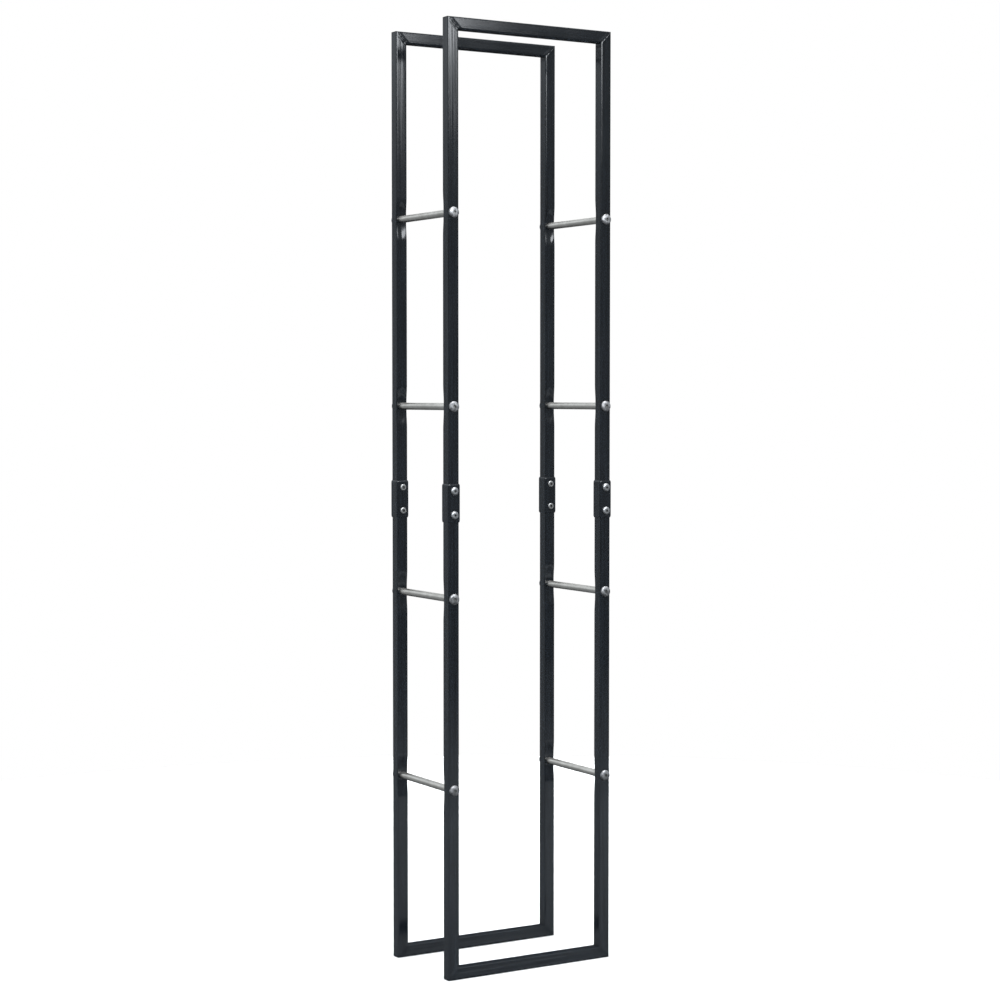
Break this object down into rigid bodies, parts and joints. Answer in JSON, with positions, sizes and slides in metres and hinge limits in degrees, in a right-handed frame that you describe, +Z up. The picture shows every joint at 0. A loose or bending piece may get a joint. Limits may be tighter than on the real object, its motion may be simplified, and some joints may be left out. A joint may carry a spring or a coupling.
{
  "type": "firewood log rack",
  "caption": "Tall, narrow, open rack of black square steel tube that holds a stack of firewood logs laid front to back, with round spacer rods between its front and back frames.",
  "frame": {"origin": "on the floor under the middle of the rack, halfway between the two sides and between the front and back frames", "axes": "+Z up, +X along the width from the left legs to the right legs, +Y from the front frame to the back frame"},
  "size_m": [0.404, 0.264, 2],
  "materials": {
    "frame_paint": "smooth semi-gloss black powder coat on the square tube, the welds and the sleeves",
    "rod_zinc": "dull grey zinc-plated steel tube with fine drawn lines",
    "fastener_zinc": "bright zinc-plated steel bolts and nuts"
  },
  "bodies": {
    "root": {"back_bottom_rail": "frame_paint", "back_left_sleeve": "frame_paint", "back_lower_left_leg": "frame_paint", "back_lower_right_leg": "frame_paint", "back_right_sleeve": "frame_paint", "back_top_rail": "frame_paint", "back_upper_left_leg": "frame_paint", "back_upper_right_leg": "frame_paint", "front_bottom_rail": "frame_paint", "front_left_sleeve": "frame_paint", "front_lower_left_leg": "frame_paint", "front_lower_right_leg": "frame_paint", "front_right_sleeve": "frame_paint", "front_top_rail": "frame_paint", "front_upper_left_leg": "frame_paint", "front_upper_right_leg": "frame_paint", "rod_bolt_back_left_1": "fastener_zinc", "rod_bolt_back_left_2": "fastener_zinc", "rod_bolt_back_left_3": "fastener_zinc", "rod_bolt_back_left_4": "fastener_zinc", "rod_bolt_back_right_1": "fastener_zinc", "rod_bolt_back_right_2": "fastener_zinc", "rod_bolt_back_right_3": "fastener_zinc", "rod_bolt_back_right_4": "fastener_zinc", "rod_bolt_front_left_1": "fastener_zinc", "rod_bolt_front_left_2": "fastener_zinc", "rod_bolt_front_left_3": "fastener_zinc", "rod_bolt_front_left_4": "fastener_zinc", "rod_bolt_front_right_1": "fastener_zinc", "rod_bolt_front_right_2": "fastener_zinc", "rod_bolt_front_right_3": "fastener_zinc", "rod_bolt_front_right_4": "fastener_zinc", "sleeve_bolt_back_left_lower": "fastener_zinc", "sleeve_bolt_back_left_upper": "fastener_zinc", "sleeve_bolt_back_right_lower": "fastener_zinc", "sleeve_bolt_back_right_upper": "fastener_zinc", "sleeve_bolt_front_left_lower": "fastener_zinc", "sleeve_bolt_front_left_upper": "fastener_zinc", "sleeve_bolt_front_right_lower": "fastener_zinc", "sleeve_bolt_front_right_upper": "fastener_zinc", "sleeve_nut_back_left_lower": "fastener_zinc", "sleeve_nut_back_left_upper": "fastener_zinc", "sleeve_nut_back_right_lower": "fastener_zinc", "sleeve_nut_back_right_upper": "fastener_zinc", "sleeve_nut_front_left_lower": "fastener_zinc", "sleeve_nut_front_left_upper": "fastener_zinc", "sleeve_nut_front_right_lower": "fastener_zinc", "sleeve_nut_front_right_upper": "fastener_zinc", "spacer_rod_left_1": "rod_zinc", "spacer_rod_left_2": "rod_zinc", "spacer_rod_left_3": "rod_zinc", "spacer_rod_left_4": "rod_zinc", "spacer_rod_right_1": "rod_zinc", "spacer_rod_right_2": "rod_zinc", "spacer_rod_right_3": "rod_zinc", "spacer_rod_right_4": "rod_zinc"}
  },
  "joints": []
}
